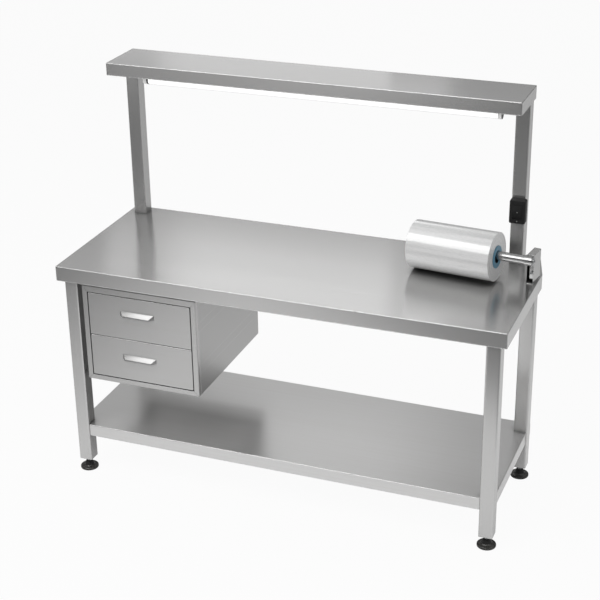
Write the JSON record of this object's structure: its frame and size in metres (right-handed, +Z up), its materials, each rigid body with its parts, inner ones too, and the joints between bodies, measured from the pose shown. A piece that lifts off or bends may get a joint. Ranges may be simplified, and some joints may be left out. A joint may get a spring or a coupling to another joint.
{
  "type": "packing table",
  "caption": "Steel packing table with a lower shelf, a drawer cabinet under one side, an overshelf with a lamp, and a film roll on a side rod.",
  "frame": {"origin": "on the floor, under the middle of the worktop", "axes": "+X to the right along the worktop, +Y to the rear, +Z up"},
  "size_m": [1.8, 0.7, 1.612],
  "materials": {
    "brushed_steel": "fine straight brushing",
    "mill_steel": "dull mill finish",
    "bright_steel": "bright, lightly brushed",
    "zinc_steel": "zinc plated",
    "white_paint": "satin white",
    "white_plastic": "satin white",
    "diffuser": "opal",
    "black_plastic": "matt black",
    "foot_rubber": "matt black",
    "film": "glossy wound film",
    "card": "wound card",
    "blue_plastic": "satin blue"
  },
  "bodies": {
    "table": {"worktop": "brushed_steel", "front_rail": "mill_steel", "rear_rail": "mill_steel", "left_end_rail": "mill_steel", "right_end_rail": "mill_steel", "front_left_leg": "brushed_steel", "front_right_leg": "brushed_steel", "rear_left_leg": "brushed_steel", "rear_right_leg": "brushed_steel", "front_left_leg_insert": "zinc_steel", "front_right_leg_insert": "zinc_steel", "rear_left_leg_insert": "zinc_steel", "rear_right_leg_insert": "zinc_steel", "lower_shelf": "brushed_steel", "left_upright": "brushed_steel", "right_upright": "brushed_steel", "left_upright_anchor": "zinc_steel", "right_upright_anchor": "zinc_steel", "overshelf": "brushed_steel", "lamp_channel": "white_paint", "lamp_light_strip": "white_plastic", "lamp_diffuser": "diffuser", "lamp_left_cap": "white_plastic", "lamp_right_cap": "white_plastic", "switch_housing": "black_plastic", "cabinet_carcass": "brushed_steel", "cabinet_frame": "brushed_steel", "upper_left_runner_outer": "zinc_steel", "upper_right_runner_outer": "zinc_steel", "lower_left_runner_outer": "zinc_steel", "lower_right_runner_outer": "zinc_steel", "bracket_base": "brushed_steel", "bracket_housing": "brushed_steel", "rod_holder": "mill_steel", "clamp_bolt": "zinc_steel", "roll_rod": "bright_steel", "rod_end_bolt": "zinc_steel"},
    "front_left_foot": {"front_left_foot": "foot_rubber"},
    "front_right_foot": {"front_right_foot": "foot_rubber"},
    "rear_left_foot": {"rear_left_foot": "foot_rubber"},
    "rear_right_foot": {"rear_right_foot": "foot_rubber"},
    "upper_drawer": {"upper_drawer_box": "brushed_steel", "upper_drawer_front": "brushed_steel", "upper_drawer_handle": "bright_steel", "upper_left_runner_inner": "zinc_steel", "upper_right_runner_inner": "zinc_steel"},
    "upper_runner_middles": {"upper_left_runner_middle": "zinc_steel", "upper_right_runner_middle": "zinc_steel"},
    "lower_drawer": {"lower_drawer_box": "brushed_steel", "lower_drawer_front": "brushed_steel", "lower_drawer_handle": "bright_steel", "lower_left_runner_inner": "zinc_steel", "lower_right_runner_inner": "zinc_steel"},
    "lower_runner_middles": {"lower_left_runner_middle": "zinc_steel", "lower_right_runner_middle": "zinc_steel"},
    "switch_rocker": {"switch_rocker": "black_plastic"},
    "film_roll": {"film_roll": "film", "film_core": "card", "right_core_plug": "blue_plastic", "left_core_plug": "blue_plastic"}
  },
  "joints": [
    {"name": "upper_drawer_slide", "type": "slide", "parent": "table", "child": "upper_drawer", "axis": [0, -1, 0], "range_m": [0, 0.45]},
    {"name": "upper_runner_slide", "type": "slide", "parent": "table", "child": "upper_runner_middles", "axis": [0, -1, 0], "range_m": [0, 0.225]},
    {"name": "lower_drawer_slide", "type": "slide", "parent": "table", "child": "lower_drawer", "axis": [0, -1, 0], "range_m": [0, 0.45]},
    {"name": "lower_runner_slide", "type": "slide", "parent": "table", "child": "lower_runner_middles", "axis": [0, -1, 0], "range_m": [0, 0.225]},
    {"name": "roll_spin", "type": "hinge", "parent": "table", "child": "film_roll", "pos_m": [0.59452, 0.09096, 1.01954], "axis": [0.9912, -0.1305, 0.0209], "continuous": true},
    {"name": "switch_rocker_tilt", "type": "hinge", "parent": "table", "child": "switch_rocker", "pos_m": [0.781, 0.2457, 1.141], "axis": [-1, 0, 0], "range_deg": [0, 10]},
    {"name": "front_left_foot_adjust", "type": "slide", "parent": "table", "child": "front_left_foot", "axis": [0, 0, -1], "range_m": [0, 0.02]},
    {"name": "front_right_foot_adjust", "type": "slide", "parent": "table", "child": "front_right_foot", "axis": [0, 0, -1], "range_m": [0, 0.02]},
    {"name": "rear_left_foot_adjust", "type": "slide", "parent": "table", "child": "rear_left_foot", "axis": [0, 0, -1], "range_m": [0, 0.02]},
    {"name": "rear_right_foot_adjust", "type": "slide", "parent": "table", "child": "rear_right_foot", "axis": [0, 0, -1], "range_m": [0, 0.02]}
  ],
  "couplings": [
    {"joint": "upper_runner_slide", "follows": "upper_drawer_slide", "ratio": 0.5},
    {"joint": "lower_runner_slide", "follows": "lower_drawer_slide", "ratio": 0.5}
  ]
}
